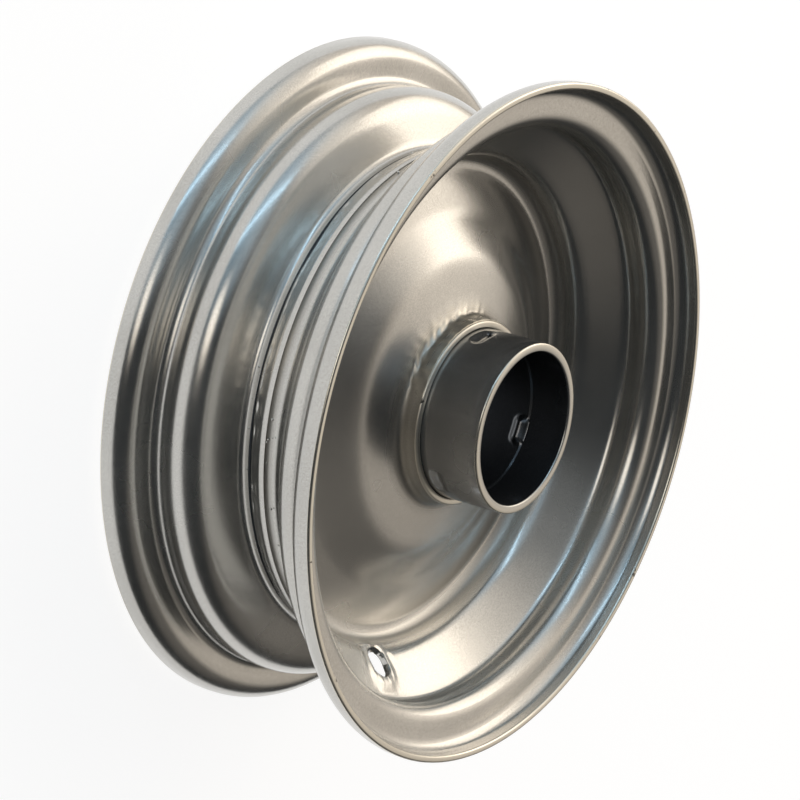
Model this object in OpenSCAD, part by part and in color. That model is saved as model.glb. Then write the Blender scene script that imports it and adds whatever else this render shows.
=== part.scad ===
// Steel wheel rim of a small hand-cart or trailer wheel, 2.50C x 8 size.
// Two pressed halves are welded back to back, and a tube for two ball bearings is
// welded into the disc of the front half. The axis is Z, with the front face up.

/* [Rim] */
// Overall diameter across the flanges
rim_od = 230; // [222:1:250]
// Width from lip to lip
rim_width = 83; // [79:0.5:100]
// Thickness of the pressed sheet
sheet = 2.5; // [1.8:0.1:3]
// Lip to the tyre side of the flange wall
flange_set = 9.75; // [8.75:0.25:11]
// Bend of the flange into the lip, at mid sheet
curl_radius = 5.9; // [4:0.1:7]
// Diameter over the ridge that the bead sits behind
ridge_d = 203.6; // [196:0.2:207]
// Lip to the top of the ridge
ridge_depth = 18.5; // [17.5:0.25:21]
// Bend over the ridge, at mid sheet
ridge_radius = 5; // [3.5:0.25:6]
// Rise of the bead seat towards the ridge, in degrees
seat_angle = 20; // [8:1:24]
// Bend between the flange wall and the seat, at mid sheet
root_radius = 4.8; // [3:0.1:5.2]

/* [Well] */
// Slope of the well's walls from the axis, in degrees
wall_angle = 53; // [48:1:60]
// Diameter over the floor of the front half
front_floor_d = 173.4; // [171:0.2:178]
// Diameter over the floor of the rear half
rear_floor_d = 167; // [163:0.2:169]
// Bend between the front wall and its floor, at mid sheet
well_radius = 6; // [4:0.5:9]
// Bend between the rear wall and its floor, at mid sheet
rear_well_radius = 2.5; // [2:0.25:4]

/* [Disc] */
// Bend between the floor and the disc, at mid sheet
dish_radius = 6.25; // [5:0.25:8]
// Slope of the disc's outer ring, in degrees
dish_angle = 17; // [8:1:22]
// Diameter at the foot of the dome
foot_d = 127; // [116:1:134]
// Front lip to the foot of the dome
foot_depth = 36.4; // [34:0.2:40]
// Bend at the foot of the dome, at mid sheet
foot_radius = 14; // [5:1:30]
// Diameter at the shoulder of the dome
shoulder_d = 100; // [88:1:106]
// Front lip to the shoulder of the dome
shoulder_depth = 29.5; // [28:0.1:32]
// Bend at the shoulder of the dome, at mid sheet
shoulder_radius = 20; // [6:1:40]
// Front lip to the crown of the dome, at the neck
crown_depth = 25.6; // [23:0.1:27]
// Bend between the crown and the neck, at mid sheet
neck_radius = 4.25; // [3:0.25:5]
// Front lip to the edge of the neck
neck_depth = 18.7; // [15:0.1:20]

/* [Hub] */
// Outer diameter of the hub tube
hub_od = 58; // [56:0.5:62]
// Bore of the hub tube, for the bearings' outer rings
hub_bore = 52; // [47:0.5:54]
// Depth that each bearing seat is reamed into the plain tube
seat_cut = 0.5; // [0.3:0.1:0.8]
// Length of the hub tube
hub_length = 89; // [84:0.5:104]
// Width of one bearing, from the tube's end to the stops
bearing_width = 15; // [12:0.5:18]
// Stops pressed into the tube behind each bearing
stop_count = 3; // [3:1:6]
// Length of a stop round the tube
stop_length = 10.6; // [8:0.1:14]
// Width of a stop along the tube
stop_width = 5; // [4:0.1:6]
// Height of a stop inside the bore
stop_height = 1.8; // [1:0.1:2.4]
// Angle of the first stop, in degrees
stop_angle = 90; // [0:1:119]

/* [Valve] */
// Diameter of the valve hole
valve_d = 11.5; // [8:0.1:13]
// Angle of the valve hole about the axis, in degrees
valve_angle = 244; // [0:1:359]
// Front lip to the middle of the valve hole
valve_depth = 29.7; // [29:0.1:31]
// Slope of the flat pad round the hole, in degrees
valve_tilt = 46; // [42:1:52]
// Diameter of the flat pad round the hole
pad_d = 16; // [14.5:0.5:18]

/* [Welds] */
// Reach of the seam's bead over the rear half
seam_reach = 3.6; // [2:0.1:5]
// Rise of the seam's bead up the front half
seam_rise = 2.2; // [1.5:0.1:2.8]
// Bulge of the seam's bead over its chord
seam_bulge = 1.1; // [0.4:0.1:1.6]
// Reach of the hub's bead along the tube
hub_bead_reach = 3; // [2:0.1:5]
// Bulge of the hub's bead over its chord
hub_bead_bulge = 0.6; // [0.2:0.1:1]

/* [Fits] */
// Gap between the neck and the tube
neck_gap = 0.1; // [0.05:0.05:0.3]
// Gap left between a bead and what it joins
bead_gap = 0.05; // [0.02:0.01:0.1]
// Gap between the two halves at the seam
seam_gap = 0.1; // [0.05:0.05:0.3]
// Broken edge of the cut sheet
edge_break = 0.5; // [0.2:0.1:0.8]

/* [Hidden] */
$fn = 96;
bend_step = 9;
paint = "#a7a49c";
half_sheet = sheet / 2;
front_z = (hub_length + rim_width) / 2;
rear_z = (hub_length - rim_width) / 2;

// Outline points are [radius, height above the half's own lip], so depths are negative.
flange_y = half_sheet - flange_set;
lip_point = [rim_od / 2 - half_sheet, 0];
curl_corner = [lip_point.x, flange_y];
ridge_centre = [ridge_d / 2 - half_sheet - ridge_radius, -ridge_depth];
seat_touch = ridge_centre + ridge_radius * [cos(seat_angle), sin(seat_angle)];
wall_touch = ridge_centre + ridge_radius * [cos(wall_angle), -sin(wall_angle)];
root_corner = [seat_touch.x - tan(seat_angle) * (flange_y - seat_touch.y), flange_y];
ridge_corner = tangent_meet(ridge_centre, ridge_radius, seat_angle, -wall_angle);
front_floor = front_floor_d / 2 - half_sheet;
rear_floor = rear_floor_d / 2 - half_sheet;
foot_corner = [foot_d / 2, -foot_depth - half_sheet];
shoulder_corner = [shoulder_d / 2, -shoulder_depth - half_sheet];
neck_r = hub_od / 2 + neck_gap + half_sheet;
neck_corner = [neck_r, -crown_depth - half_sheet];
neck_edge = [neck_r, -neck_depth];
dish_corner = [front_floor, foot_corner.y - tan(dish_angle) * (front_floor - foot_corner.x)];
front_well = wall_at(front_floor);
rear_well = wall_at(rear_floor);
dish_centre = bend_centre(front_well, dish_corner, foot_corner, dish_radius);
neck_centre = bend_centre(shoulder_corner, neck_corner, neck_edge, neck_radius);
dish_back_r = dish_radius + half_sheet;
neck_back_r = neck_radius + half_sheet;

// Height of the front half's back, above the front lip, at a radius on the dish bend
function dish_back(r, gap) = dish_centre.y - sqrt(pow(dish_back_r + gap, 2) - pow(r - dish_centre.x, 2));
seam_y = dish_back(rear_floor - half_sheet + edge_break, seam_gap);
rear_end = [rear_floor, -(rim_width + seam_y)];
rear_floor_start = rear_well_radius * tan(wall_angle / 2) - rear_well.y - rim_width;

front_path = [
    lip_point, curl_corner, root_corner, ridge_corner, front_well, dish_corner,
    foot_corner, shoulder_corner, neck_corner, neck_edge
];
front_bends = [
    curl_radius, root_radius, ridge_radius, well_radius, dish_radius,
    foot_radius, shoulder_radius, neck_radius
];
rear_path = [lip_point, curl_corner, root_corner, ridge_corner, rear_well, rear_end];
rear_bends = [curl_radius, root_radius, ridge_radius, rear_well_radius];

function unit(v) = v / norm(v);
function left(v) = [-v.y, v.x];
function reversed(list) = [for (i = [len(list) - 1 : -1 : 0]) list[i]];

// Corner of the two lines that touch a circle where its normals have angles a and b
function tangent_meet(c, r, a, b) = c + r / cos((a - b) / 2) * [cos((a + b) / 2), sin((a + b) / 2)];

// Point of the well's wall, at mid sheet, with a given radius
function wall_at(r) = [r, wall_touch.y - (wall_touch.x - r) / tan(wall_angle)];

// Centre of the bend of radius r at corner q on the way from p to s
function bend_centre(p, q, s, r) =
    let (
        a = unit(q - p),
        b = unit(s - q),
        side = sign(cross(a, b)),
        run = r * tan(acos(a * b) / 2)
    )
    q - run * a + side * r * left(a);

// The same bend as points, on a line that runs beside the path at a distance to its left
function bend(p, q, s, r, beside) =
    let (
        a = unit(q - p),
        b = unit(s - q),
        side = sign(cross(a, b)),
        turn = acos(a * b),
        steps = max(2, ceil(turn / bend_step)),
        start = atan2(a.y, a.x),
        c = bend_centre(p, q, s, r)
    )
    [
        for (i = [0 : steps])
            let (heading = start + side * turn * i / steps)
            c - side * (r - side * beside) * left([cos(heading), sin(heading)])
    ];

// A line beside a bent path, with its ends drawn back a little
function beside_path(path, bends, beside, back) =
    let (
        last = len(path) - 1,
        a = unit(path[1] - path[0]),
        b = unit(path[last] - path[last - 1])
    )
    concat(
        [path[0] + back * a + beside * left(a)],
        [
            for (i = [1 : last - 1])
                each bend(path[i - 1], path[i], path[i + 1], bends[i - 1], beside)
        ],
        [path[last] - back * b + beside * left(b)]
    );

// Outline of a sheet bent along a path, with its cut edges broken
function bent_sheet(path, bends) =
    let (
        last = len(path) - 1,
        a = unit(path[1] - path[0]),
        b = unit(path[last] - path[last - 1]),
        flat = half_sheet - edge_break
    )
    concat(
        [path[0] - flat * left(a), path[0] + flat * left(a)],
        beside_path(path, bends, half_sheet, edge_break),
        [path[last] + flat * left(b), path[last] - flat * left(b)],
        reversed(beside_path(path, bends, -half_sheet, edge_break))
    );

// Points of a shallow arc from p to q that bulges to the left of its chord
function bulged(p, q, bulge, steps) =
    let (
        chord = q - p,
        half = norm(chord) / 2,
        r = (half * half + bulge * bulge) / (2 * bulge),
        c = (p + q) / 2 + left(unit(chord)) * (bulge - r),
        spread = asin(half / r),
        middle = atan2(chord.x, -chord.y)
    )
    [
        for (i = [1 : steps - 1])
            let (at = middle + spread * (1 - 2 * i / steps))
            c + r * [cos(at), sin(at)]
    ];

// Everything given to it is placed in the valve hole's own frame
module at_valve() {
    spot = wall_at(wall_touch.x - tan(wall_angle) * (valve_depth + wall_touch.y));
    rotate(valve_angle)
        translate([spot.x, 0, front_z + spot.y])
            rotate([0, valve_tilt - 90, 0])
                children();
}

module front_half() {
    reach = 2 * sheet;
    color(paint)
        difference() {
            union() {
                translate([0, 0, front_z])
                    rotate_extrude()
                        polygon(bent_sheet(front_path, front_bends));
                at_valve()
                    cylinder(d = pad_d, h = sheet, center = true);
            }
            at_valve()
                translate([0, 0, half_sheet])
                    cylinder(d = pad_d, h = reach);
            at_valve()
                translate([0, 0, -half_sheet - reach])
                    cylinder(d = pad_d, h = reach);
            at_valve()
                cylinder(d = valve_d, h = 3 * sheet, center = true);
        }
}

module rear_half() {
    color(paint)
        translate([0, 0, rear_z])
            mirror([0, 0, 1])
                rotate_extrude()
                    polygon(bent_sheet(rear_path, rear_bends));
}

// A rounded bar across the tube at a distance from the axis
module stop_bar(distance) {
    r = stop_width / 2;
    straight = stop_length - stop_width;
    translate([distance, 0, 0])
        rotate([90, 0, 0])
            cylinder(r = r, h = straight, center = true);
    for (y = [-1, 1] * straight / 2)
        translate([distance, y, 0])
            sphere(r);
}

module each_stop() {
    inset = bearing_width + stop_width / 2;
    for (z = [inset, hub_length - inset], i = [0 : stop_count - 1])
        translate([0, 0, z])
            rotate(stop_angle + 360 / stop_count * i)
                children();
}

// Half of the tube's section; the seats at its ends are reamed out of the plain bore
module tube_outline() {
    r = hub_od / 2;
    seat_r = hub_bore / 2;
    plain_r = seat_r - seat_cut;
    top = hub_length;
    e = edge_break;
    w = bearing_width;
    polygon([
        [r, e], [r, top - e], [r - e, top],
        [seat_r + e, top], [seat_r, top - e], [seat_r, top - w], [plain_r, top - w],
        [plain_r, w], [seat_r, w], [seat_r, e], [seat_r + e, 0],
        [r - e, 0]
    ]);
}

module hub_tube() {
    bore_r = hub_bore / 2;
    middle = bore_r - stop_height + stop_width / 2;
    wall = (hub_od - hub_bore) / 2;
    color(paint)
        difference() {
            union() {
                rotate_extrude()
                    tube_outline();
                intersection() {
                    each_stop()
                        stop_bar(middle);
                    cylinder(r = bore_r + wall / 2, h = hub_length);
                }
            }
            each_stop()
                stop_bar(middle + wall);
        }
}

module seam_weld() {
    low = rear_floor + half_sheet + bead_gap;
    high = low + seam_rise;
    steps = 6;
    rear_toe = [low, max(seam_y - seam_reach, rear_floor_start)];
    seat = [
        for (i = [0 : steps])
            let (r = low + (high - low) * i / steps)
            [r, dish_back(r, bead_gap)]
    ];
    color(paint)
        translate([0, 0, front_z])
            rotate_extrude()
                polygon(concat(seat, bulged(seat[steps], rear_toe, seam_bulge, 2 * steps), [rear_toe]));
}

module hub_weld() {
    r = neck_back_r + bead_gap;
    tube_r = hub_od / 2 + bead_gap;
    steps = 6;
    first = 25;
    last = 68;
    seat = [
        for (i = [0 : steps])
            let (at = first + (last - first) * i / steps)
            neck_centre - r * [cos(at), sin(at)]
    ];
    toe = [tube_r, seat[steps].y - hub_bead_reach];
    color(paint)
        translate([0, 0, front_z])
            rotate_extrude()
                polygon(concat(seat, bulged(seat[steps], toe, hub_bead_bulge, steps), [toe, [tube_r, seat[0].y]]));
}

front_half();
rear_half();
hub_tube();
seam_weld();
hub_weld();
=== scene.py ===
"""Looks of a pressed steel wheel rim: two welded halves, a tube for ball bearings and weld beads."""

import math

import bpy
import numpy as np
from bpy.props import FloatProperty, FloatVectorProperty, IntProperty, PointerProperty, StringProperty
from mathutils import Matrix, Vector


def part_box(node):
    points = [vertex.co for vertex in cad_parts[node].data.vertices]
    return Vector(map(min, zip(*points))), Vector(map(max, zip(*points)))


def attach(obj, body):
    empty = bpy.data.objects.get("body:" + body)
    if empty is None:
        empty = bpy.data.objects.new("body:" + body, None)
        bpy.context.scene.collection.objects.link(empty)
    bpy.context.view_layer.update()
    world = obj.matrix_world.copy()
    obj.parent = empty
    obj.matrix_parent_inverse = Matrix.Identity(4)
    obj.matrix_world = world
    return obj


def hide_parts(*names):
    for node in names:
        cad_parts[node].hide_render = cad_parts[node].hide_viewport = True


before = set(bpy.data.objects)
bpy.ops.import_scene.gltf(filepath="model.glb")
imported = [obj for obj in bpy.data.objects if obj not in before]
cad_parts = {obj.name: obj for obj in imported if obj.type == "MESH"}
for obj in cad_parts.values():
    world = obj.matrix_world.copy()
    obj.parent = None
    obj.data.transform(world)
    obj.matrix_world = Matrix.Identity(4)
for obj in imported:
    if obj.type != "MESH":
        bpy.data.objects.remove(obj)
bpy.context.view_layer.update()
MM = 0.001
TUBE_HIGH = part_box("hub_tube")[1]
FRONT_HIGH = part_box("front_half")[1]

bl_info = {
    "name": "Steel wheel rim",
    "version": (1, 0, 0),
    "blender": (4, 5, 0),
    "location": "View3D > Sidebar > Wheel rim",
    "description": "Builds the visible surfaces, paint and stage of a pressed steel wheel rim",
    "category": "Object",
}


def size(name, description, mm):
    """A length property, given in millimetres and kept in metres."""
    return FloatProperty(name=name, description=description, default=mm * MM, unit="LENGTH", precision=5)


def turn(name, description, degrees):
    """An angle property, given in degrees."""
    return FloatProperty(name=name, description=description, default=math.radians(degrees), subtype="ANGLE")


def paint_hex(name, description, value):
    """A colour property as an sRGB hex value."""
    return StringProperty(name=name, description=description, default=value)


class RimSizes(bpy.types.PropertyGroup):
    """Sizes of the two pressed halves."""

    rim_od: size("Rim diameter", "Across the flanges", FRONT_HIGH.x * 2 / MM)
    rim_width: size("Rim width", "From lip to lip", 83)
    sheet: size("Sheet", "Thickness of the pressed sheet", 2.5)
    edge: size("Edge", "Rounding of the cut edges under paint", 0.8)
    flange_set: size("Flange set", "Lip to the tyre side of the flange wall", 9.75)
    curl_radius: size("Curl", "Bend of the flange into the lip", 5.9)
    ridge_d: size("Ridge diameter", "Over the ridge behind the bead", 203.6)
    ridge_depth: size("Ridge depth", "Lip to the top of the ridge", 18.5)
    ridge_radius: size("Ridge bend", "Bend over the ridge", 5)
    seat_angle: turn("Seat angle", "Rise of the bead seat", 20)
    root_radius: size("Root bend", "Bend between flange wall and seat", 4.8)
    wall_angle: turn("Wall angle", "Slope of the well's walls from the axis", 53)
    front_floor_d: size("Front floor", "Diameter over the front floor", 173.4)
    rear_floor_d: size("Rear floor", "Diameter over the rear floor", 167)
    well_radius: size("Well bend", "Bend between the front wall and floor", 6)
    rear_ridge_depth: size("Rear ridge depth", "Rear lip to the top of its ridge", 19.5)
    rear_ridge_radius: size("Rear ridge bend", "Bend over the rear ridge", 8)
    rear_wall_angle: turn("Rear wall angle", "Slope of the rear wall from the axis", 72)
    rear_well_radius: size("Rear well bend", "Bend between the rear wall and floor", 4)
    rear_end_depth: size("Rear floor's end", "Rear lip to the seam", 39.84)
    dish_radius: size("Dish bend", "Bend between the floor and the disc", 6.25)
    dish_angle: turn("Dish angle", "Slope of the disc's outer ring", 17)
    foot_d: size("Foot diameter", "At the foot of the dome", 127)
    foot_depth: size("Foot depth", "Front lip to the dome's foot", 36.4)
    foot_radius: size("Foot bend", "Bend at the dome's foot", 14)
    shoulder_d: size("Shoulder diameter", "At the dome's shoulder", 100)
    shoulder_depth: size("Shoulder depth", "Front lip to the shoulder", 29.5)
    shoulder_radius: size("Shoulder bend", "Bend at the shoulder", 20)
    crown_depth: size("Crown depth", "Front lip to the crown", 25.6)
    neck_radius: size("Neck bend", "Bend between the crown and the neck", 4.25)
    neck_depth: size("Neck depth", "Front lip to the neck's edge", 18.7)
    valve_d: size("Valve hole", "Diameter of the valve hole", 11.5)
    valve_angle: turn("Valve angle", "Angle of the valve hole about the axis", 244)
    valve_depth: size("Valve depth", "Front lip to the valve hole", 29.7)
    valve_tilt: turn("Valve tilt", "Slope of the flat pad", 46)
    pad_d: size("Pad", "Diameter of the flat pad round the hole", 16)
    waviness: size("Waviness", "Slight unevenness of the pressed sheet", 0.05)
    lump_angle: turn("Lump angle", "Middle of the weld lumps on the neck, about the axis", 104)
    lump_height: size("Lump height", "Mean height of the lumps", 0.4)
    lump_swing: size("Lump swing", "Unevenness of the lumps", 0.11)
    lump_full: size("Lump full", "Radius up to which the lumps are full", 33.5)
    lump_end: size("Lump end", "Radius at which the lumps end", 38)


class HubSizes(bpy.types.PropertyGroup):
    """Sizes of the tube and the weld beads."""

    tube_od: size("Tube diameter", "Outside of the tube", TUBE_HIGH.x * 2 / MM)
    tube_bore: size("Tube bore", "Bearing seat", 52)
    middle_bore: size("Middle bore", "Bore between the seats", 51)
    tube_length: size("Tube length", "Length of the tube", TUBE_HIGH.z / MM)
    seat_width: size("Seat width", "Width of one bearing", 15)
    stop_count: IntProperty(name="Stops", description="Stops behind each bearing", default=3, min=2)
    stop_length: size("Stop length", "Round the tube", 10.6)
    stop_width: size("Stop width", "Along the tube", 5)
    stop_height: size("Stop height", "Depth pressed in", 1.8)
    stop_angle: turn("Stop angle", "Angle of the first stop", 90)
    stop_sink: FloatProperty(
        name="Stop sink", description="Outer dent as a share of the stop's height", default=0.6)
    torn_depth: size("Torn depth", "Depth of the torn end of a dent", 0.5)
    tube_edge: size("Tube edge", "Rounding of the tube's ends", 0.7)
    seam_low: size("Seam toe", "Height of the seam bead's rear toe", 39.24)
    seam_high: size("Seam top", "Height of the seam bead's front toe", 46.33)
    seam_floor: size("Seam floor", "Radius of the floor under the bead", 83.55)
    crease_width: size("Crease width", "Mean width of the seam's open crease", 1.1)
    crease_swing: size("Crease swing", "How much wider the crease is at its widest place", 0.35)
    crease_angle: turn("Crease angle", "Where the crease is widest", 200)
    bead_step: size("Bead step", "Height of the bead over the crease", 0.6)
    bead_rise: size("Bead rise", "Rise from the bead to the front floor", 1.55)


class RimFinish(bpy.types.PropertyGroup):
    """Colours of the paint, and the stage's light and camera."""

    silver: paint_hex("Silver", "Silver wheel enamel", "#cbc9c4")
    silver_dark: paint_hex("Thin silver", "Enamel where it lies thin", "#bdbbb6")
    # painted shade: both tube colours are the silver enamel made darker, standing in for the dark room the
    # tube reflects
    tube: paint_hex("Tube", "Enamel on the tube, greyer than on the halves", "#a2a4a6")
    tube_thin_shade: paint_hex("Thin tube enamel", "Tube's enamel where it lies thin", "#8f9295")
    # worn cut edges, and also the painted highlight on the upper side of the neck
    silver_edge: paint_hex("Edge", "Worn edge of the sheet", "#ddd8cc")
    steel: paint_hex("Steel", "Bare steel in a chip", "#57534d")
    # painted shade: a dull brown laid in the concave corners of the halves
    dust: paint_hex("Dust", "Dust held in the corners", "#6d6557")
    # painted shade: near-black laid in the bore, the seam's open crease and the torn ends of the dents
    bare: paint_hex("Bare", "Oily steel in the bore and the seam's open crease", "#2c3035")
    floor: paint_hex("Floor", "Pale studio floor", "#e9e7e3")
    warm: paint_hex("Warm light", "Colour of the main light", "#fff4e6")
    pale: paint_hex("Pale light", "Colour of the wall beside the window", "#f2f6f8")
    room: paint_hex("Room", "Colour of the dim room", "#dfe7ee")
    cool: paint_hex("Cool light", "Colour of the ceiling's light", "#b8dcf6")
    key_power: FloatProperty(name="Key power", description="Wide main light", default=3.0, unit="POWER")
    strip_power: FloatProperty(
        name="Strip power", description="Narrow ceiling light", default=1.6, unit="POWER")
    camera_at: FloatVectorProperty(
        name="Camera", description="Place of the camera", default=(-0.908, 0.486, 0.688),
        unit="LENGTH", subtype="TRANSLATION")
    lens: FloatProperty(name="Lens", description="Focal length in mm on a 36 mm sensor", default=163.06)


# Outlines. Points are (radius, height above the half's own lip) in millimetres.
LINE_STEP = 0.05


def unit(v):
    """A vector's direction."""
    return v / np.linalg.norm(v)


def left(v):
    """A plane vector turned a quarter to the left."""
    return np.array((-v[1], v[0]))


def cross2(a, b):
    """Above 0 where b turns to the left of a."""
    return a[0] * b[1] - a[1] * b[0]


def bent_line(corners, radii, step=LINE_STEP, soften=0.5):
    """Middle line of a bent sheet: straight runs between corners joined by arcs that touch both runs,
    then evenly spaced and softened with a Gaussian as a press does, with both ends kept."""
    corners = np.array(corners, float)
    parts = [corners[:1]]
    for p, q, s, r in zip(corners, corners[1:], corners[2:], radii):
        a, b = unit(q - p), unit(s - q)
        side = np.sign(cross2(a, b))
        angle = math.acos(np.clip(a @ b, -1, 1))
        centre = q - r * math.tan(angle / 2) * a + side * r * left(a)
        heading = math.atan2(a[1], a[0]) + side * np.linspace(0, angle, 60)
        parts.append(centre - side * r * np.stack((-np.sin(heading), np.cos(heading)), 1))
    line = np.concatenate(parts + [corners[-1:]])
    run = np.concatenate(([0], np.cumsum(np.linalg.norm(np.diff(line, axis=0), axis=1))))
    even = np.linspace(0, run[-1], int(run[-1] / step))
    line = np.stack([np.interp(even, run, line[:, k]) for k in (0, 1)], 1)
    reach = int(4 * soften / step)
    weight = np.exp(-0.5 * (np.arange(-reach, reach + 1) * step / soften) ** 2)
    first = 2 * line[0] - line[reach:0:-1]
    last = 2 * line[-1] - line[-2:-reach - 2:-1]
    padded = np.concatenate((first, line, last))
    return np.stack([np.convolve(padded[:, k], weight / weight.sum(), "valid") for k in (0, 1)], 1)


def spaced(line, finest, widest, share):
    """Points along a line, closer where it bends: spacing is a share of the bend's radius between
    two limits. Returns points and unit normals to the left."""
    run = np.concatenate(([0], np.cumsum(np.linalg.norm(np.diff(line, axis=0), axis=1))))
    along = np.gradient(line, run, axis=0)
    heading = np.unwrap(np.arctan2(along[:, 1], along[:, 0]))
    bend = np.abs(np.gradient(heading, run)) + 1e-6
    density = 1 / np.clip(share / bend, finest, widest)
    count = np.concatenate(([0], np.cumsum((density[1:] + density[:-1]) / 2 * np.diff(run))))
    at = np.interp(np.linspace(0, count[-1], int(count[-1]) + 2), count, run)
    points = np.stack([np.interp(at, run, line[:, k]) for k in (0, 1)], 1)
    turn_at = np.interp(at, run, heading)
    return points, np.stack((-np.sin(turn_at), np.cos(turn_at)), 1)


def end_cap(point, out, across, half, edge, count=5):
    """Cut end of a sheet from its left side to its right: two quarter arcs of radius edge and
    the flat between."""
    t = np.linspace(0, math.pi / 2, count)[:, None]
    upper = point + across * (half - edge + edge * np.cos(t)) + out * edge * (np.sin(t) - 1)
    lower = point - across * (half - edge + edge * np.cos(t[::-1])) + out * edge * (np.sin(t[::-1]) - 1)
    return np.concatenate((upper, lower))


def sheet_loop(line, half, edge):
    """Closed outline of a bent sheet. The line's offsets to either side are joined by rounded cut ends.
    Returns the loop, its outward normals' side (+1, -1, 0 on a cut end) and the sheet's normals."""
    cut = int(edge / LINE_STEP)
    inner = line[cut:-cut]
    points, across = spaced(inner, finest=0.45, widest=2.6, share=0.16)
    start_out, end_out = unit(line[0] - line[8]), unit(line[-1] - line[-9])
    tail = end_cap(line[-1], end_out, left(end_out), half, edge)
    head = end_cap(line[0], start_out, left(start_out), half, edge)
    loop = np.concatenate((points + half * across, tail, (points - half * across)[::-1], head))
    face = np.ones(len(points))
    side = np.concatenate((face, np.zeros(len(tail)), -face, np.zeros(len(head))))
    normal = np.concatenate((across, np.repeat(across[-1:], len(tail), 0),
                             across[::-1], np.repeat(across[:1], len(head), 0)))
    return loop, side, normal


def rim_corners(s, floor, wall_angle, ridge_depth, bend):
    """Corners and bends of a half from its lip to the foot of its well wall, and the wall's own line."""
    half = s.sheet / 2
    lip = s.rim_od / 2 - half
    flange = half - s.flange_set
    ridge = np.array((s.ridge_d / 2 - half - bend, -ridge_depth))
    seat = ridge + bend * np.array((math.cos(s.seat_angle), math.sin(s.seat_angle)))
    wall = ridge + bend * np.array((math.cos(wall_angle), -math.sin(wall_angle)))
    root = (seat[0] - math.tan(s.seat_angle) * (flange - seat[1]), flange)
    middle = (s.seat_angle - wall_angle) / 2
    reach = bend / math.cos((s.seat_angle + wall_angle) / 2)
    ridge_corner = ridge + reach * np.array((math.cos(middle), math.sin(middle)))
    foot = (floor, wall[1] - (wall[0] - floor) / math.tan(wall_angle))
    corners = [(lip, 0), (lip, flange), root, tuple(ridge_corner), foot]
    return corners, [s.curl_radius, s.root_radius, bend], wall


def front_line(s):
    """Middle line of the front half: lip, flange, seat, ridge, wall, floor, dish, dome and neck."""
    half = s.sheet / 2
    floor = s.front_floor_d / 2 - half
    corners, bends, wall = rim_corners(s, floor, s.wall_angle, s.ridge_depth, s.ridge_radius)
    foot = (s.foot_d / 2, -s.foot_depth - half)
    neck_r = s.tube_r + 0.1 + half
    dish = (floor, foot[1] - math.tan(s.dish_angle) * (floor - foot[0]))
    corners += [dish, foot, (s.shoulder_d / 2, -s.shoulder_depth - half),
                (neck_r, -s.crown_depth - half), (neck_r, -s.neck_depth)]
    bends += [s.well_radius, s.dish_radius, s.foot_radius, s.shoulder_radius, s.neck_radius]
    return bent_line(corners, bends), wall


def rear_line(s):
    """Middle line of the rear half: lip, flange, seat, ridge, wall and a short floor."""
    floor = s.rear_floor_d / 2 - s.sheet / 2
    corners, bends, _ = rim_corners(s, floor, s.rear_wall_angle, s.rear_ridge_depth, s.rear_ridge_radius)
    corners.append((floor, -s.rear_end_depth))
    return bent_line(corners, bends + [s.rear_well_radius], soften=0.35)


class Plain:
    """A property group's lengths in millimetres and its other values as they are."""

    def __init__(self, group):
        for key, prop in group.bl_rna.properties.items():
            if key in ("rna_type", "name"):
                continue
            value = getattr(group, key)
            is_length = prop.type == "FLOAT" and prop.unit == "LENGTH" and not prop.is_array
            setattr(self, key, value / MM if is_length else value)


# Meshes

def smooth_step(low, high, x):
    """0 below low, 1 above high and a cubic between."""
    t = np.clip((x - low) / (high - low), 0, 1)
    return t * t * (3 - 2 * t)


def waves(a, b, seed, count, low, high):
    """Sum of plane waves over two lengths, with random headings and phases and periods between
    low and high. Its root mean square is about 1."""
    rng = np.random.default_rng(seed)
    period = rng.uniform(low, high, count)
    heading, phase = rng.uniform(0, 2 * math.pi, (2, count))
    total = np.zeros(np.broadcast(a, b).shape)
    for p, h, f in zip(period, heading, phase):
        total += np.sin(2 * math.pi / p * (a * math.cos(h) + b * math.sin(h)) + f)
    return total * math.sqrt(2 / count)


def slow_waves(angles, parts):
    """Unevenness of a pressing: whole waves round the rim, each with a count, a share and a phase."""
    return sum(share * np.sin(count * angles + phase) for count, share, phase in parts)[:, None]


def ring_quads(rows, columns):
    """Faces of a grid that closes on itself both ways, as four corner numbers each."""
    i, j = np.meshgrid(np.arange(rows), np.arange(columns), indexing="ij")
    i2, j2 = (i + 1) % rows, (j + 1) % columns
    corners = (i * columns + j, i2 * columns + j, i2 * columns + j2, i * columns + j2)
    return np.stack(corners, -1).reshape(-1, 4)


def outward(points, quads):
    """The same faces turned so that the enclosed volume, summed over the corner fans, is positive."""
    p = points[quads]
    volume = np.einsum("ij,ij->i", p[:, 0], np.cross(p[:, 1], p[:, 2])) \
        + np.einsum("ij,ij->i", p[:, 0], np.cross(p[:, 2], p[:, 3]))
    return quads if volume.sum() > 0 else quads[:, ::-1]


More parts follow.
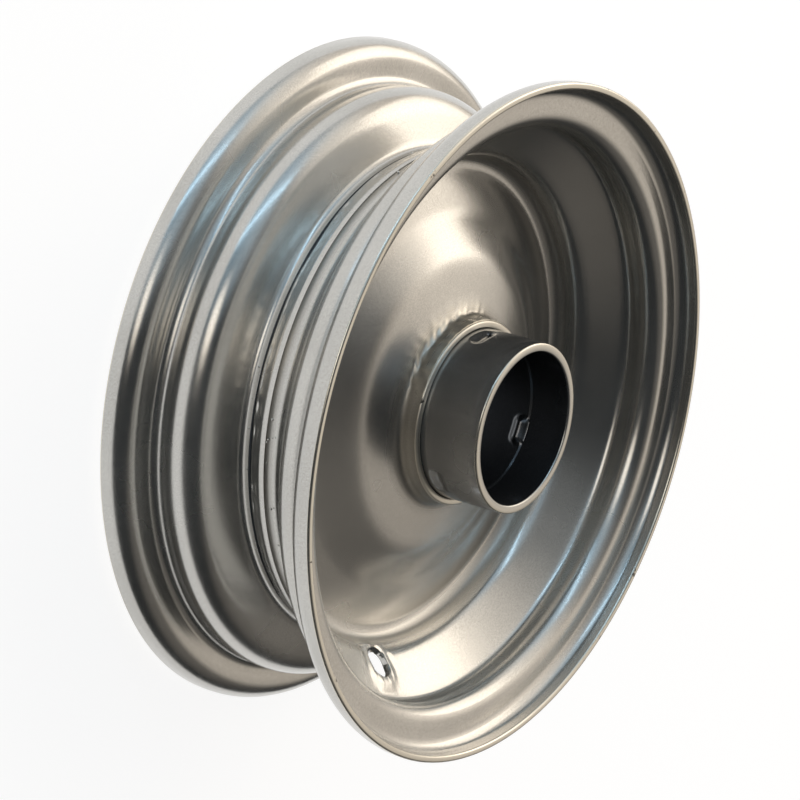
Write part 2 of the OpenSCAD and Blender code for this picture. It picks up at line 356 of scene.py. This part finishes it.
def make_piece(name, points, quads, nodes, marks, material):
    """Puts points in millimetres and four-cornered faces into a piece that rides on the frame."""
    mesh = bpy.data.meshes.new(name)
    mesh.vertices.add(len(points))
    mesh.vertices.foreach_set("co", (points * MM).astype(np.float32).ravel())
    mesh.loops.add(quads.size)
    mesh.loops.foreach_set("vertex_index", quads.astype(np.int32).ravel())
    mesh.polygons.add(len(quads))
    mesh.polygons.foreach_set("loop_start", np.arange(0, quads.size, 4, dtype=np.int32))
    mesh.polygons.foreach_set("use_smooth", np.ones(len(quads), bool))
    mesh.update(calc_edges=True)
    if mesh.validate():
        raise RuntimeError(name + ": the surface has faulty faces")
    for key, values in marks.items():
        attribute = mesh.attributes.new(key, "FLOAT", "POINT")
        attribute.data.foreach_set("value", values.astype(np.float32).ravel())
    mesh.set_sharp_from_angle(angle=math.radians(50))
    mesh.materials.append(material)
    piece = bpy.data.objects.new(name, mesh)
    bpy.context.scene.collection.objects.link(piece)
    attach(piece, "root")
    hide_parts(*nodes)


def around(radius, height, angles):
    """Points at radii and heights, one row for each angle: x is radius times cosine, y radius times sine."""
    c, s = np.cos(angles)[:, None], np.sin(angles)[:, None]
    return np.stack(np.broadcast_arrays(radius * c, radius * s, height), -1)


def spun(loop, angles):
    """Points of an outline carried round the Z axis, as an array of angle by outline point."""
    return around(loop[None, :, 0], loop[None, :, 1], angles)


def push(points, angles, normal, amount):
    """Moves spun points along their outline's normals, carried round with them, by an amount in mm."""
    return points + spun(normal, angles) * amount[..., None]


def used_only(points, quads, marks):
    """Drops the points that no face uses."""
    used = np.unique(quads)
    number = np.zeros(len(points), int)
    number[used] = np.arange(len(used))
    return points[used], number[quads], {k: v.ravel()[used] for k, v in marks.items()}


def open_valve(points, quads, side, s, wall, front_z):
    """Flattens the pad and opens the valve hole. In the hole's own frame, points near the axis move to
    the pad's two faces, faces wholly inside the hole go, their outer points move onto its circle, and
    the same edges of the two faces are joined by a wall."""
    radius = wall[0] - math.tan(s.wall_angle) * (s.valve_depth + wall[1])
    cv, sv = math.cos(s.valve_angle), math.sin(s.valve_angle)
    centre = np.array((radius * cv, radius * sv, front_z - s.valve_depth))
    ct, st = math.cos(s.valve_tilt), math.sin(s.valve_tilt)
    axis = np.array((-ct * cv, -ct * sv, st))
    across = np.array((-sv, cv, 0.0))
    upward = np.cross(axis, across)
    columns = len(side)
    local = (points - centre) @ np.stack((across, upward, axis), 1)
    reach = 9
    near = (np.hypot(local[:, 0], local[:, 1]) < s.pad_d) & (np.abs(local[:, 2]) < reach)
    # each point of one face has a mate with the same row and the mirrored place in the outline
    count = int((side == 1).sum())
    tail = int((side[count:] == 0).argmin())
    row, col = np.divmod(np.arange(len(points)), columns)
    mate = row * columns + np.where(side[col] == 0, col, 2 * count + tail - 1 - col)
    middle = (local + local[mate]) / 2
    far = 1e3
    rho = np.where(near, np.hypot(middle[:, 0], middle[:, 1]), far)
    sign = np.where(np.tile(side, len(points) // columns) == 0, 0, np.sign(local[:, 2]))
    blend_in, blend_out = 0.4, 2.2
    flat = 1 - smooth_step(s.pad_d / 2 - blend_in, s.pad_d / 2 + blend_out, rho)
    hole = s.valve_d / 2
    gone = (rho[quads] < hole).all(1)
    on_hole = np.zeros(len(points), bool)
    on_hole[np.intersect1d(quads[gone], quads[~gone])] = True
    broken_edge = 0.25
    target = sign * (s.sheet / 2 - np.where(on_hole, broken_edge, 0))
    local[:, 2] += np.where(near, flat * (target - local[:, 2]), 0)
    scale = np.where(on_hole, hole / np.maximum(np.hypot(local[:, 0], local[:, 1]), 1e-6), 1)
    local[:, :2] *= scale[:, None]
    moved = centre + local @ np.stack((across, upward, axis), 0)
    points = np.where(near[:, None], moved, points)
    removed = quads[gone]
    edges = np.concatenate([removed[:, [k, (k + 1) % 4]] for k in range(4)])
    key = np.sort(edges, 1)
    _, first, times = np.unique(key, axis=0, return_index=True, return_counts=True)
    rim = edges[first[times == 1]]
    outer = rim[local[rim[:, 0], 2] > 0]
    inner = rim[local[rim[:, 0], 2] <= 0]
    if not np.array_equal(np.unique(mate[outer]), np.unique(inner)):
        raise RuntimeError("the valve hole's two rims do not match")
    walls = np.stack((outer[:, 0], outer[:, 1], mate[outer[:, 1]], mate[outer[:, 0]]), 1)
    return points, np.concatenate((quads[~gone], walls))


def rim_angles(count, dense_at, dense_reach, extra):
    """Angles round the axis, evenly spaced, with extra ones near one place."""
    even = np.linspace(0, 2 * math.pi, count, endpoint=False)
    fine = dense_at + np.linspace(-dense_reach, dense_reach, extra)
    keep = np.abs((even - dense_at + math.pi) % (2 * math.pi) - math.pi) > dense_reach * 1.02
    return np.sort(np.concatenate((even[keep], fine % (2 * math.pi))))


def edge_marks(side, rows):
    """1 on the cut ends of a sheet and 0 on its faces, for each point."""
    return np.tile((side == 0).astype(float), rows)


def corner_shade_marks(loop, corners, reach, rows):
    """How near each point lies to one of the corners that get painted shade, from 0 to 1."""
    gap = np.linalg.norm(loop[:, None] - np.array(corners)[None], axis=2).min(1)
    return np.tile(1 - smooth_step(0, reach, gap), rows)


# Materials

def linear(value):
    """sRGB hex to linear RGBA."""
    rgb = np.array([int(value[k:k + 2], 16) / 255 for k in (1, 3, 5)])
    rgb = np.where(rgb <= 0.04045, rgb / 12.92, ((rgb + 0.055) / 1.055) ** 2.4)
    return (*rgb.tolist(), 1.0)


def add(tree, kind, ins=None, **settings):
    """Adds a node, sets its settings, and links or sets its inputs."""
    node = tree.nodes.new("ShaderNode" + kind)
    for key, value in settings.items():
        setattr(node, key, value)
    for key, value in (ins or {}).items():
        if isinstance(value, bpy.types.NodeSocket):
            tree.links.new(value, node.inputs[key])
        else:
            node.inputs[key].default_value = value
    return node


def ramp(tree, value, low, high, start=0.0, end=1.0, kind="LINEAR"):
    """Brings a value between two limits to the range from start to end."""
    ins = {"Value": value, "From Min": low, "From Max": high, "To Min": start, "To Max": end}
    return add(tree, "MapRange", ins, interpolation_type=kind).outputs["Result"]


def blend(tree, share, first, second):
    """Colour that goes from the first to the second with the share."""
    return add(tree, "Mix", {"Factor": share, "A": first, "B": second}, data_type="RGBA").outputs["Result"]


def maths(tree, operation, *values):
    """Result of one operation on numbers."""
    return add(tree, "Math", dict(enumerate(values)), operation=operation).outputs[0]


def noise(tree, place, width, detail, roughness=0.5):
    """Soft random pattern of about the given width in metres."""
    ins = {"Vector": place, "Scale": 1 / width, "Detail": detail, "Roughness": roughness}
    return add(tree, "TexNoise", ins).outputs["Fac"]


def silver_enamel(name, finish, thick, faint, rough, peel, flake):
    """Silver wheel enamel, sprayed over pressed steel: fine aluminium flakes in a clear binder give a soft
    metal sheen with a shallow orange peel, a few nibs of grit, and a brighter worn line with chips on the cut
    edges. The dust and bare marks lay painted shade, and the edge mark also lays a painted
    highlight on the neck. thick and faint are its colours, rough its roughness, peel and flake the strength
    of each."""
    found = bpy.data.materials.get(name)
    if found:
        return found
    material = bpy.data.materials.new(name)
    material.use_nodes = True
    tree = material.node_tree
    tree.nodes.clear()
    # widths and heights in metres; the flakes are drawn coarse enough to show
    cloud_width, flake_width, peel_width, chip_width, nib_gap = 0.040, 0.0005, 0.0016, 0.006, 0.014
    peel_height, nib_height = 0.00006, 0.00012
    nib_share, chip_start, chip_full = 0.045, 0.66, 0.71
    cloud_low, cloud_high, gloss_swing = 0.3, 0.7, 0.05
    corner_shade_cover, corner_shade_matt, chip_matt = 0.55, 0.2, 0.25
    place = add(tree, "TexCoord").outputs["Object"]
    edge, dust, bare = (add(tree, "Attribute", attribute_name=mark).outputs["Fac"]
                        for mark in ("edge", "dust", "bare"))
    # colour: clouded silver with flakes, painted shade in the corners, worn edges (with a painted highlight
    # on the neck), chips, and a near-black painted shade
    clouds = noise(tree, place, cloud_width, 3.0)
    body = blend(tree, ramp(tree, clouds, cloud_low, cloud_high), linear(faint), linear(thick))
    spark = ramp(tree, noise(tree, place, flake_width, 1.0), cloud_low, cloud_high, 1 - flake, 1 + flake)
    grain = add(tree, "VectorMath", {0: body, "Scale": spark}, operation="SCALE").outputs["Vector"]
    chips = ramp(tree, noise(tree, place, chip_width, 4.0, 0.65), chip_start, chip_full)
    chip = maths(tree, "MULTIPLY", edge, chips)
    # painted shade: the concave corners go towards a dull brown
    colour = blend(tree, maths(tree, "MULTIPLY", dust, corner_shade_cover), grain, linear(finish.dust))
    # the edge mark also lays the lighter edge colour as a painted highlight on the neck's upper side
    colour = blend(tree, edge, colour, linear(finish.silver_edge))
    colour = blend(tree, chip, colour, linear(finish.steel))
    # painted shade: the bore, the seam's crease and the torn dents go towards near-black
    colour = blend(tree, bare, colour, linear(finish.bare))
    # sheen: a little uneven, duller under the painted corner shade and in chips
    matt = ramp(tree, clouds, cloud_low, cloud_high, rough - gloss_swing, rough + gloss_swing)
    matt = maths(tree, "MULTIPLY_ADD", dust, corner_shade_matt, matt)
    matt = maths(tree, "MULTIPLY_ADD", chip, chip_matt, matt)
    # relief: orange peel and nibs of grit
    ripple = noise(tree, place, peel_width, 1.0)
    low = add(tree, "Bump", {"Height": ripple, "Strength": peel, "Distance": peel_height}).outputs["Normal"]
    nib = add(tree, "TexVoronoi", {"Vector": place, "Scale": 1 / nib_gap, "Randomness": 1.0})
    nib_top = ramp(tree, nib.outputs["Distance"], 0.0, nib_share, 1.0, 0.0, "SMOOTHSTEP")
    relief = add(tree, "Bump", {"Height": nib_top, "Normal": low, "Strength": 0.5, "Distance": nib_height})
    shader = add(tree, "BsdfPrincipled", {
        "Base Color": colour, "Roughness": matt, "Normal": relief.outputs["Normal"], "Metallic": 0.9,
        "Coat Weight": 0.3, "Coat Roughness": 0.12})
    add(tree, "OutputMaterial", {"Surface": shader.outputs["BSDF"]})
    return material


def wheel_enamel(finish):
    """Enamel of the two halves: light silver with a fine peel."""
    return silver_enamel("silver_wheel_enamel", finish, finish.silver, finish.silver_dark,
                         rough=0.24, peel=0.16, flake=0.08)


# Operators

class RIM_OT_front_half(bpy.types.Operator):
    """Front half: one pressed bowl with flange, well, dome and neck, and the valve hole in its flat pad"""

    bl_idname = "wheel_rim.front_half"
    bl_label = "Front half"

    def execute(self, context):
        s = Plain(context.scene.rim_sizes)
        s.tube_r = context.scene.hub_sizes.tube_od / MM / 2
        front_z = FRONT_HIGH.z / MM
        line, wall = front_line(s)
        loop, side, normal = sheet_loop(line, s.sheet / 2, s.edge)
        angles = rim_angles(300, s.valve_angle, dense_reach=math.radians(8.5), extra=60)
        points = spun(loop + (0, front_z), angles)
        lift = s.waviness * slow_waves(angles, ((3, 1.0, 0.7), (5, 0.7, 2.1))) * np.ones(len(loop))
        # lumps where weld metal and paint lie on the upper side of the neck
        upper = smooth_step(0.55, 0.9, np.cos(angles - s.lump_angle))[:, None]
        on_neck = ((1 - smooth_step(s.lump_full, s.lump_end, loop[:, 0])) * (side == -1))[None, :]
        arc = loop[None, :, 0] * angles[:, None]
        lumps = waves(arc, loop[None, :, 1] - loop[None, :, 0], seed=5, count=16, low=3.2, high=9.0)
        lift = lift - upper * on_neck * (s.lump_height + s.lump_swing * lumps)
        points = push(points, angles, normal, lift).reshape(-1, 3)
        quads = ring_quads(len(angles), len(loop))
        points, quads = open_valve(points, quads, side, s, wall, front_z)
        quads = outward(points, quads)
        # painted shade darkens the paint beside the tube, at the neck's foot and in the corner between floor
        # and disc
        corners = ((s.tube_r + 0.3, -s.neck_depth), (31.6, -s.crown_depth), (84.9, -39.4))
        # painted highlight: the upper side of the neck is lightened with the edge colour, over the real weld
        # lumps
        neck_highlight = np.clip(upper * on_neck * (0.55 + 0.2 * lumps), 0, 1).ravel()
        marks = {"edge": np.maximum(edge_marks(side, len(angles)), neck_highlight),
                 "dust": corner_shade_marks(loop, corners, 5, len(angles)), "bare": np.zeros(len(points))}
        points, quads, marks = used_only(points, quads, marks)
        make_piece("rim_front_half", points, quads, ["front_half"], marks,
                   wheel_enamel(context.scene.rim_finish))
        return {"FINISHED"}


class RIM_OT_rear_half(bpy.types.Operator):
    """Rear half: pressed ring with flange, seat, ridge, wall and a short floor"""

    bl_idname = "wheel_rim.rear_half"
    bl_label = "Rear half"

    def execute(self, context):
        s = Plain(context.scene.rim_sizes)
        rear_z = FRONT_HIGH.z / MM - s.rim_width
        loop, side, normal = sheet_loop(rear_line(s), s.sheet / 2, s.edge)
        angles = np.linspace(0, 2 * math.pi, 400, endpoint=False)
        points = spun(np.stack((loop[:, 0], rear_z - loop[:, 1]), 1), angles)
        wave = slow_waves(angles, ((2, 1.0, 0.4), (5, 0.8, 1.0), (9, 0.5, 0.0)))
        turned = np.stack((normal[:, 0], -normal[:, 1]), 1)
        points = push(points, angles, turned, s.waviness * wave * np.ones(len(loop))).reshape(-1, 3)
        quads = outward(points, ring_quads(len(angles), len(loop)))
        # painted shade darkens the paint between the wall and the floor and at the root of the flange
        corners = ((83.6, -36.5), (98.0, -10.0))
        marks = {"edge": edge_marks(side, len(angles)), "dust": corner_shade_marks(loop, corners, 4, len(angles)),
                 "bare": np.zeros(len(points))}
        make_piece("rim_rear_half", points, quads, ["rear_half"], marks,
                   wheel_enamel(context.scene.rim_finish))
        return {"FINISHED"}


class RIM_OT_hub_tube(bpy.types.Operator):
    """Tube for two ball bearings, with three stops pressed in behind each seat"""

    bl_idname = "wheel_rim.hub_tube"
    bl_label = "Hub tube"

    def execute(self, context):
        h = Plain(context.scene.hub_sizes)
        top, edge = h.tube_length, h.tube_edge
        inset = h.seat_width + h.stop_width / 2
        # rows of points along the tube, closer at the stops
        dent_reach, least_gap = 4.5, 0.25
        fine = np.linspace(-dent_reach, dent_reach, 22)
        rows = (np.linspace(edge, top - edge, 22), inset + fine, top - inset + fine)
        heights = np.sort(np.concatenate(rows))
        heights = heights[np.concatenate(([True], np.diff(heights) > least_gap))]
        outer = np.stack((np.full(len(heights), h.tube_od / 2), heights), 1)
        in_seat = (heights < h.seat_width) | (heights > top - h.seat_width)
        inner = np.stack((np.where(in_seat, h.tube_bore, h.middle_bore) / 2, heights), 1)[::-1]
        t = np.linspace(0, math.pi / 2, 6)[1:-1]
        r_out, r_in = h.tube_od / 2 - edge, h.tube_bore / 2 + edge
        ends = [np.stack((r_out + edge * np.cos(t), top - edge + edge * np.sin(t)), 1),
                np.stack((r_in - edge * np.sin(t), top - edge + edge * np.cos(t)), 1),
                np.stack((r_in - edge * np.cos(t), edge - edge * np.sin(t)), 1),
                np.stack((r_out + edge * np.sin(t), edge - edge * np.cos(t)), 1)]
        # parts of the outline, each with how worn it is
        parts = ((outer, 0), (ends[0], 1), (ends[1], 0.4), (inner, 0), (ends[2], 0.4), (ends[3], 1))
        loop = np.concatenate([part for part, worn in parts])
        on_end = np.concatenate([np.full(len(part), worn, float) for part, worn in parts])
        angles = np.linspace(0, 2 * math.pi, 360, endpoint=False)
        # distance from the middle line of the nearest stop, a straight slot with round ends
        step = 2 * math.pi / h.stop_count
        away = (angles - h.stop_angle + step / 2) % step - step / 2
        mid_r = (h.tube_od + h.tube_bore) / 4
        u = (away * mid_r)[:, None]
        v = np.minimum(np.abs(loop[:, 1] - inset), np.abs(loop[:, 1] - top + inset))[None, :]
        straight = (h.stop_length - h.stop_width) / 2
        gap = np.hypot(np.maximum(np.abs(u) - straight, 0), v)
        dent = h.stop_height * (1 - smooth_step(0.2, h.stop_width / 2 + 0.7, gap))
        torn = h.torn_depth * (1 - smooth_step(0.25, 1.1, np.hypot(u + straight + 1.2, v)))
        outside = (loop[:, 0] > mid_r)[None, :] & (on_end[None, :] == 0)
        inside = (loop[:, 0] <= mid_r)[None, :] & (on_end[None, :] == 0)
        depth = np.where(outside, h.stop_sink * dent + torn, 0) + np.where(inside, dent, 0)
        points = around(loop[None, :, 0] - depth, loop[None, :, 1], angles).reshape(-1, 3)
        quads = outward(points, ring_quads(len(angles), len(loop)))
        # painted shade: the whole bore and the torn end of each outer dent go towards near-black; the torn
        # pit itself is shaped
        torn_deep_shade, bore_deep_shade = 2.2, 0.65
        bare = np.clip(np.where(outside, torn * torn_deep_shade, 0) + np.where(inside, bore_deep_shade, 0), 0, 1)
        marks = {"edge": np.tile(on_end, len(angles)), "dust": 0 * bare, "bare": bare}
        f = context.scene.rim_finish
        # painted shade: the tube's enamel is the halves' silver made darker
        paint = silver_enamel("silver_tube_enamel", f, f.tube, f.tube_thin_shade, rough=0.24, peel=0.12, flake=0.06)
        make_piece("rim_hub_tube", points, quads, ["hub_tube"], marks, paint)
        return {"FINISHED"}


def spatter(places, radius):
    """Small flattened drops. Each is five rings of eight points whose size and height follow a circle's
    cosine and sine, closed by three faces at either end. places holds the foot point and the outward
    direction of each."""
    level = np.radians((-50, -15, 20, 50, 75))
    turns = np.linspace(0, 2 * math.pi, 8, endpoint=False)
    foot, out = places
    side = np.cross(out, (0.0, 0.0, 1.0))
    side /= np.linalg.norm(side, axis=1)[:, None]
    upward = np.cross(out, side)
    flatness = 0.75
    flat = np.cos(level)[:, None, None] * np.stack((np.cos(turns), np.sin(turns)), 1)
    high = np.broadcast_to(flatness * np.sin(level)[:, None], flat.shape[:2])
    points = foot[:, None, None] + radius[:, None, None, None] * (
        flat[None, ..., :1] * side[:, None, None] + flat[None, ..., 1:] * upward[:, None, None]
        + high[None, ..., None] * out[:, None, None])
    k = np.arange(4)[:, None] * 8
    j = np.arange(8)[None, :]
    ring = np.stack((k + j, k + (j + 1) % 8, k + 8 + (j + 1) % 8, k + 8 + j), -1).reshape(-1, 4)
    lid = np.array(((0, 1, 2, 3), (0, 3, 4, 7), (4, 5, 6, 7)))
    one = np.concatenate((ring, lid[:, ::-1], lid + 32))
    return points.reshape(-1, 3), (np.arange(len(foot))[:, None, None] * 40 + one[None]).reshape(-1, 4)


def seam_bead(h):
    """Bead between the halves, from an open crease behind it to the front floor. Its radius is the floor's
    plus a step over the crease, a slow rise and a slow roughness. Returns points, faces and the painted shade
    in the crease."""
    crease_lift, crease_back, under_depth = 0.28, 0.9, 0.4
    drift_width, rough_height = 0.16, 0.05
    angles = np.linspace(0, 2 * math.pi, 1500, endpoint=False)
    arc = (angles * h.seam_floor)[:, None]
    rear = h.seam_low - crease_back
    x = ((h.seam_high - rear) * np.linspace(0, 1, 26) ** 1.3)[None, :]
    drift = drift_width * waves(arc, 0 * arc, seed=3, count=9, low=18, high=60)
    open_to = h.crease_width + h.crease_swing * np.cos(angles - h.crease_angle)[:, None] + drift
    step = smooth_step(open_to - 0.3, open_to + 0.5, x)
    on_bead = smooth_step(1.8, 2.6, x) * (1 - smooth_step(3.6, 5.0, x))
    rough = rough_height * waves(arc, x, seed=4, count=16, low=3.0, high=9.0) * on_bead
    radius = h.seam_floor + crease_lift + h.bead_step * step + h.bead_rise * smooth_step(2, 6.5, x) + rough
    under = np.full((len(angles), 4), h.seam_floor - under_depth)
    under_x = np.linspace(x[0, -1], 0, 4)[None, :]
    height = rear + np.concatenate((x, under_x), 1)
    points = around(np.concatenate((radius, under), 1), height, angles).reshape(-1, 3)
    quads = outward(points, ring_quads(len(angles), height.shape[1]))
    # painted shade: the open crease behind the bead goes towards near-black
    bare = np.concatenate(((1 - step) * smooth_step(0.1, 0.3, x), 0 * under), 1).ravel()
    return points, quads, bare


def seam_spatter(h):
    """Drops on the rear floor and on the front floor beside the bead, more of them at one side."""
    front_share, front_rise, rear_sink = 0.35, 3.1, 0.1
    rng = np.random.default_rng(11)
    at = np.concatenate((np.radians(rng.uniform(160, 225, 16)), rng.uniform(0, 2 * math.pi, 26)))
    on_front = rng.random(len(at)) < front_share
    level = np.where(on_front, rng.uniform(47, 52.5, len(at)), rng.uniform(36.8, 38.2, len(at)))
    floor_r = h.seam_floor + np.where(on_front, front_rise, -rear_sink)
    out = np.stack((np.cos(at), np.sin(at), 0 * at), 1)
    foot = out * floor_r[:, None] + np.array((0, 0, 1)) * level[:, None]
    drops, quads = spatter((foot, out), rng.uniform(0.25, 0.55, len(at)))
    return drops, outward(drops, quads)


def hub_bead(h):
    """Bead behind the neck: an ellipse carried round the tube, with an uneven underside."""
    off_tube, inward, width_share, trim, beat_height, mean_radius = 0.05, 0.35, 0.4, 0.3, 0.2, 31
    angles = np.linspace(0, 2 * math.pi, 720, endpoint=False)
    turns = np.linspace(0, 2 * math.pi, 22, endpoint=False)[None, :]
    low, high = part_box("hub_weld")
    inner, outer = h.tube_od / 2 + off_tube, high.x / MM
    z0, z1 = low.z / MM, high.z / MM
    arc = angles * mean_radius
    beat = beat_height * waves(arc, 0 * arc, seed=6, count=8, low=2.0, high=5.0)[:, None]
    radius = (inner + outer) / 2 - inward + (outer - inner) * width_share * np.cos(turns)
    height = (z0 + z1) / 2 + ((z1 - z0) / 2 + beat * (np.sin(turns) < 0) - trim) * np.sin(turns)
    points = around(radius, height, angles).reshape(-1, 3)
    return points, outward(points, ring_quads(len(angles), turns.shape[1]))


class RIM_OT_weld_beads(bpy.types.Operator):
    """Weld beads: the seam between the halves with its crease and spatter, and the bead behind the neck"""

    bl_idname = "wheel_rim.weld_beads"
    bl_label = "Weld beads"

    def execute(self, context):
        h = Plain(context.scene.hub_sizes)
        f = context.scene.rim_finish
        paint = silver_enamel("silver_enamel_on_weld", f, f.silver, f.silver_dark,
                              rough=0.26, peel=0.3, flake=0.08)
        points, quads, bare = seam_bead(h)
        drops, drop_quads = seam_spatter(h)
        quads = np.concatenate((quads, drop_quads + len(points)))
        points = np.concatenate((points, drops))
        plain = np.zeros(len(points))
        marks = {"edge": plain, "dust": plain, "bare": np.concatenate((bare, np.zeros(len(drops))))}
        make_piece("rim_seam_weld", points, quads, ["seam_weld"], marks, paint)
        points, quads = hub_bead(h)
        plain = np.zeros(len(points))
        make_piece("rim_hub_weld", points, quads, ["hub_weld"],
                   {"edge": plain, "dust": plain, "bare": plain}, paint)
        return {"FINISHED"}


# Directions of the photograph's frame in the part's frame
VIEW_RIGHT = np.array((0.582, 0.0, 0.813))
VIEW_UP = np.array((0.326, 0.916, -0.233))
VIEW_BACK = np.array((-0.745, 0.401, 0.533))
VIEW = np.stack((VIEW_RIGHT, VIEW_UP, VIEW_BACK))

# Soft glows of the room: turn to the right of the camera, height and reach in degrees, strength, colour
GLOWS = (
    # wide window to the right and behind, and its low part
    (100, 35, 48, 0.92, "warm"),
    (112, 0, 42, 0.72, "warm"),
    # wall beside the window
    (50, 35, 48, 0.32, "pale"),
    # ceiling
    (0, 38, 50, 0.44, "cool"),
    (0, 78, 50, 0.28, "cool"),
    # ground to the right
    (92, -35, 45, 0.15, "warm"),
    # lamp behind the camera
    (-4, 6, 18, 2.0, "warm"),
)


def soft_lamp(name, direction, distance, width, height, power, colour):
    """Large soft light that looks at the middle of the rim from a direction given in the view's axes."""
    lamp = bpy.data.lights.new(name, "AREA")
    lamp.shape = "RECTANGLE"
    lamp.size, lamp.size_y = width, height
    lamp.energy = power
    lamp.color = linear(colour)[:3]
    middle = np.array((0, 0, 0.045))
    away = unit(np.array(direction) @ VIEW)
    side = unit(np.cross(VIEW_UP + 0.01 * VIEW_RIGHT, away))
    turned = Matrix(np.stack((side, np.cross(away, side), away), 1).tolist()).to_4x4()
    turned.translation = (middle + away * distance).tolist()
    thing = bpy.data.objects.new(name, lamp)
    thing.matrix_world = turned
    bpy.context.scene.collection.objects.link(thing)


def studio_floor(f):
    """Pale studio floor: matt, white to the eye and in reflections, with a soft shadow."""
    radius, count, white_level, shade_level = 5.0, 48, 0.86, 0.30
    ring = np.linspace(0, 2 * math.pi, count, endpoint=False)
    corners = np.stack((radius * np.cos(ring), radius * np.sin(ring), 0 * ring), 1)
    mesh = bpy.data.meshes.new("stage_floor")
    mesh.from_pydata(corners.tolist(), [], [list(range(count))])
    floor = bpy.data.objects.new("stage_floor", mesh)
    bpy.context.scene.collection.objects.link(floor)
    paint = bpy.data.materials.new("pale_studio_floor")
    paint.use_nodes = True
    tree = paint.node_tree
    tree.nodes.clear()
    path = add(tree, "LightPath").outputs
    seen = maths(tree, "MAXIMUM", path["Is Camera Ray"], path["Is Glossy Ray"])
    seen = maths(tree, "MAXIMUM", seen, path["Is Transmission Ray"])
    matt = add(tree, "BsdfDiffuse", {"Color": linear(f.floor)}).outputs[0]
    shade = add(tree, "BsdfDiffuse", {"Color": (shade_level, shade_level, shade_level, 1)}).outputs[0]
    white = add(tree, "Emission", {"Color": (1, 1, 1, 1), "Strength": white_level}).outputs[0]
    both = add(tree, "AddShader", {0: shade, 1: white}).outputs[0]
    add(tree, "OutputMaterial", {"Surface": add(tree, "MixShader", {0: seen, 1: matt, 2: both}).outputs[0]})
    mesh.materials.append(paint)


def soft_room(f):
    """Dim room with the soft glows of a window, a ceiling and a lamp behind the camera."""
    room_level = 0.035
    world = bpy.data.worlds.new("soft_room")
    bpy.context.scene.world = world
    world.use_nodes = True
    tree = world.node_tree
    tree.nodes.clear()
    heading = add(tree, "TexCoord").outputs["Generated"]
    sky = add(tree, "Background", {"Color": linear(f.room), "Strength": room_level}).outputs[0]
    for across, high, reach, strength, colour in GLOWS:
        a, e = math.radians(across), math.radians(high)
        toward = np.array((math.sin(a) * math.cos(e), math.sin(e), math.cos(a) * math.cos(e)))
        way = unit(toward @ VIEW).tolist()
        near = add(tree, "VectorMath", {0: heading, 1: way}, operation="DOT_PRODUCT").outputs["Value"]
        level = ramp(tree, near, math.cos(math.radians(reach)), 1.0, 0.0, strength, "SMOOTHSTEP")
        glow = add(tree, "Background", {"Color": linear(getattr(f, colour)), "Strength": level}).outputs[0]
        sky = add(tree, "AddShader", {0: sky, 1: glow}).outputs[0]
    add(tree, "OutputWorld", {"Surface": sky})


def photo_camera(f):
    """Camera at the photograph's place."""
    camera = bpy.data.cameras.new("camera")
    camera.lens, camera.sensor_width, camera.sensor_fit = f.lens, 36.0, "HORIZONTAL"
    camera.clip_end = 50
    thing = bpy.data.objects.new("camera", camera)
    place = Matrix(VIEW.T.tolist()).to_4x4()
    place.translation = tuple(f.camera_at)
    thing.matrix_world = place
    bpy.context.scene.collection.objects.link(thing)
    bpy.context.scene.camera = thing


class RIM_OT_stage(bpy.types.Operator):
    """Pale floor, soft studio light and the camera"""

    bl_idname = "wheel_rim.stage"
    bl_label = "Stage"

    def execute(self, context):
        f = context.scene.rim_finish
        context.scene.view_settings.view_transform = "Standard"
        studio_floor(f)
        soft_room(f)
        soft_lamp("key_light", direction=(0.82, 0.45, -0.30), distance=1.5, width=0.9, height=0.9,
                  power=f.key_power, colour=f.warm)
        soft_lamp("strip_light", direction=(0.12, 0.72, 0.68), distance=1.4, width=1.3, height=0.10,
                  power=f.strip_power, colour=f.cool)
        photo_camera(f)
        return {"FINISHED"}


class RIM_PT_panel(bpy.types.Panel):
    """Sidebar panel of the wheel rim"""

    bl_idname = "RIM_PT_panel"
    bl_label = "Wheel rim"
    bl_space_type = "VIEW_3D"
    bl_region_type = "UI"
    bl_category = "Wheel rim"

    def draw(self, context):
        for group in (context.scene.rim_sizes, context.scene.hub_sizes, context.scene.rim_finish):
            box = self.layout.box()
            for key in group.bl_rna.properties.keys():
                if key not in ("rna_type", "name"):
                    box.prop(group, key)
        for operator in OPERATORS:
            self.layout.operator(operator.bl_idname)


GROUPS = {"rim_sizes": RimSizes, "hub_sizes": HubSizes, "rim_finish": RimFinish}
OPERATORS = (RIM_OT_front_half, RIM_OT_rear_half, RIM_OT_hub_tube, RIM_OT_weld_beads, RIM_OT_stage)


def register():
    for cls in (*GROUPS.values(), *OPERATORS, RIM_PT_panel):
        bpy.utils.register_class(cls)
    for name, group in GROUPS.items():
        setattr(bpy.types.Scene, name, PointerProperty(type=group))


def unregister():
    for name in GROUPS:
        delattr(bpy.types.Scene, name)
    for cls in (RIM_PT_panel, *reversed(OPERATORS), *GROUPS.values()):
        bpy.utils.unregister_class(cls)


def main():
    register()
    for operator in OPERATORS:
        group, call = operator.bl_idname.split(".")
        getattr(getattr(bpy.ops, group), call)()


if __name__ == "__main__":
    main()
